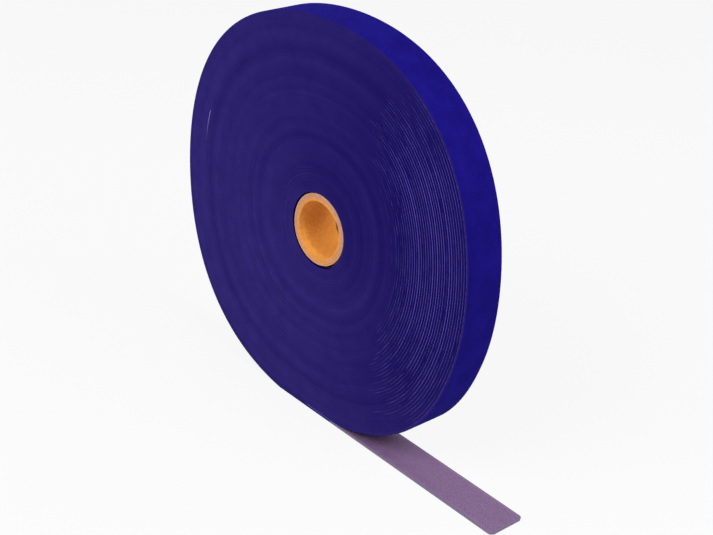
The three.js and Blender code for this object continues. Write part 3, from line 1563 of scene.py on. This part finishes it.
@dataclass(frozen=True)
class Studio:
    """A pale floor, soft light and the camera of the photograph."""

    target: Vector = Vector((18.76 * MM, 0.0, 79.9 * MM))
    azimuth: float = 46.174 * DEG
    elevation: float = 27.446 * DEG
    roll: float = 4.885 * DEG
    distance: float = 665.25 * MM
    focal_pixels: float = 1462.6
    floor_size: float = 12.0
    floor_drop: float = 0.05 * MM
    floor_colour: Colour = (0.6, 0.6, 0.6, 1.0)
    floor_roughness: float = 0.9
    floor_specular: float = 0.1
    floor_glow: float = 0.88
    world_light: float = 0.3

    def facing(self, azimuth: float, elevation: float, distance: float, roll: float = 0.0) -> Matrix:
        """Where a thing stands so that it looks at the target.

        Args:
            azimuth: Its direction from the target, from -Y towards +X.
            elevation: How high it stands, as an angle.
            distance: How far away it stands.
            roll: How far it is turned about its line of sight.

        Returns:
            Its place as a matrix.
        """
        flat = math.cos(elevation)
        back = Vector((math.sin(azimuth) * flat, -math.cos(azimuth) * flat, math.sin(elevation)))
        turn = (-back).to_track_quat("-Z", "Y").to_matrix() @ Matrix.Rotation(roll, 3, "Z")
        return Matrix.Translation(self.target + back * distance) @ turn.to_4x4()

    def build_camera(self) -> None:
        """Sets up the camera."""
        data = bpy.data.cameras.new("camera")
        data.sensor_width = SENSOR_WIDTH
        data.lens = self.focal_pixels * SENSOR_WIDTH / IMAGE_WIDTH
        data.clip_start, data.clip_end = CLIP_RANGE
        camera = shown("camera", data)
        camera.matrix_world = self.facing(self.azimuth, self.elevation, self.distance, self.roll)
        bpy.context.scene.camera = camera

    def build_floor(self) -> None:
        """Lays a pale floor that looks near white to the camera and keeps the shadow."""
        bm = bmesh.new()
        bmesh.ops.create_grid(bm, x_segments=1, y_segments=1, size=self.floor_size)
        mesh = bpy.data.meshes.new("floor")
        bm.to_mesh(mesh)
        bm.free()
        floor = shown("floor", mesh)
        floor.location.z = -self.floor_drop
        material = bpy.data.materials.new("floor")
        nodes = Nodes(material)
        shader = nodes.tree.nodes["Principled BSDF"]
        nodes.feed(shader.inputs["Base Color"], self.floor_colour)
        nodes.feed(shader.inputs["Roughness"], self.floor_roughness)
        nodes.feed(shader.inputs["Specular IOR Level"], self.floor_specular)
        white = nodes.add("ShaderNodeEmission", None, {"Color": WHITE, "Strength": 1.0})
        seen = self.floor_glow * self.seen_directly(nodes)
        layers = {0: seen, 1: Term(nodes, shader.outputs[0]), 2: white}
        mixed = nodes.add("ShaderNodeMixShader", None, layers)
        nodes.feed(nodes.tree.nodes["Material Output"].inputs["Surface"], mixed)
        mesh.materials.append(material)
        floor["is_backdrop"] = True

    def seen_directly(self, nodes: Nodes) -> Term:
        """One where the camera, a mirror or glass looks, and nought where a surface is lit."""
        rays = [nodes.add("ShaderNodeLightPath", None, None, f"Is {kind} Ray") for kind in SEEN_RAYS]
        return nodes.math("MAXIMUM", nodes.math("MAXIMUM", rays[0], rays[1]), rays[2])

    def build_light(self) -> None:
        """Lights the roll from all round, with a soft lamp above the free end and one in front."""
        world = bpy.data.worlds.new("studio")
        bpy.context.scene.world = world
        nodes = Nodes(world)
        sky = nodes.tree.nodes["Background"]
        nodes.feed(sky.inputs["Color"], WHITE)
        lit = self.seen_directly(nodes) * (1 - self.world_light) + self.world_light
        nodes.feed(sky.inputs["Strength"], lit)
        for lamp in LAMPS:
            data = bpy.data.lights.new(lamp.name, "AREA")
            data.shape, data.size, data.energy = "DISK", lamp.size, lamp.power
            made = shown(lamp.name, data)
            made.matrix_world = self.facing(lamp.azimuth, lamp.elevation, lamp.distance)

    def build(self) -> None:
        """Makes the camera, the floor and the light."""
        bpy.context.scene.view_settings.view_transform = "Standard"
        self.build_camera()
        self.build_floor()
        self.build_light()


def write_sizes() -> None:
    """Gathers the frame's box and the dressed roll's box, and keeps neither."""
    boxes = {"cad": CAD_BOX, "visual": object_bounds()}
    {name: [list(corner) for corner in box] for name, box in boxes.items()}


def main() -> None:
    """Builds the roll's pieces in order and dresses them."""
    logging.basicConfig(level=logging.INFO, format="%(name)s %(message)s")
    Studio().build()
    core_low, core_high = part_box("core_tube")
    core = (core_low + core_high) / 2
    tape = Tape(width=core_high.y - core_low.y, thickness=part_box("tail_hook_web_1")[1].z)
    form = RollForm(core, (core_high.x - core_low.x) / 2, core - CORE_SHIFT, tape)
    hinges = tuple(joint["pos_m"][0] for joint in frame["joints"])
    finishes = {
        Slot.PAPERBOARD: KraftBoard(),
        Slot.ADHESIVE: ADHESIVE_STRIP,
        Slot.HOOK: HookPlastic(),
        Slot.LOOP: LoopPile(),
    }
    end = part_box(f"tail_hook_web_{len(hinges)}")[1].x
    winding = Winding(form, root=hinges[0] - (end - hinges[-1]) / 2)
    pieces = winding.build(finishes)
    pieces += FreeEnd(winding, hinges, end + CUT_END_PROUD).build(finishes)
    pieces.append(BrushedFibres(winding).build(finishes[Slot.LOOP]))
    pieces.append(LiftedEdge(winding).build(LOOSE_YARN))
    pieces.append(PaperCore(core, form.core_radius, tape.width).build(finishes[Slot.PAPERBOARD]))
    starter = frame["nodes"]["starter_strip"]
    starter.data.materials.clear()
    starter.data.materials.append(finishes[Slot.ADHESIVE].material())
    for piece in (*pieces, starter):
        log.info("%s: %d faces", piece.name, len(piece.data.polygons))
    write_sizes()


if __name__ == "__main__":
    main()
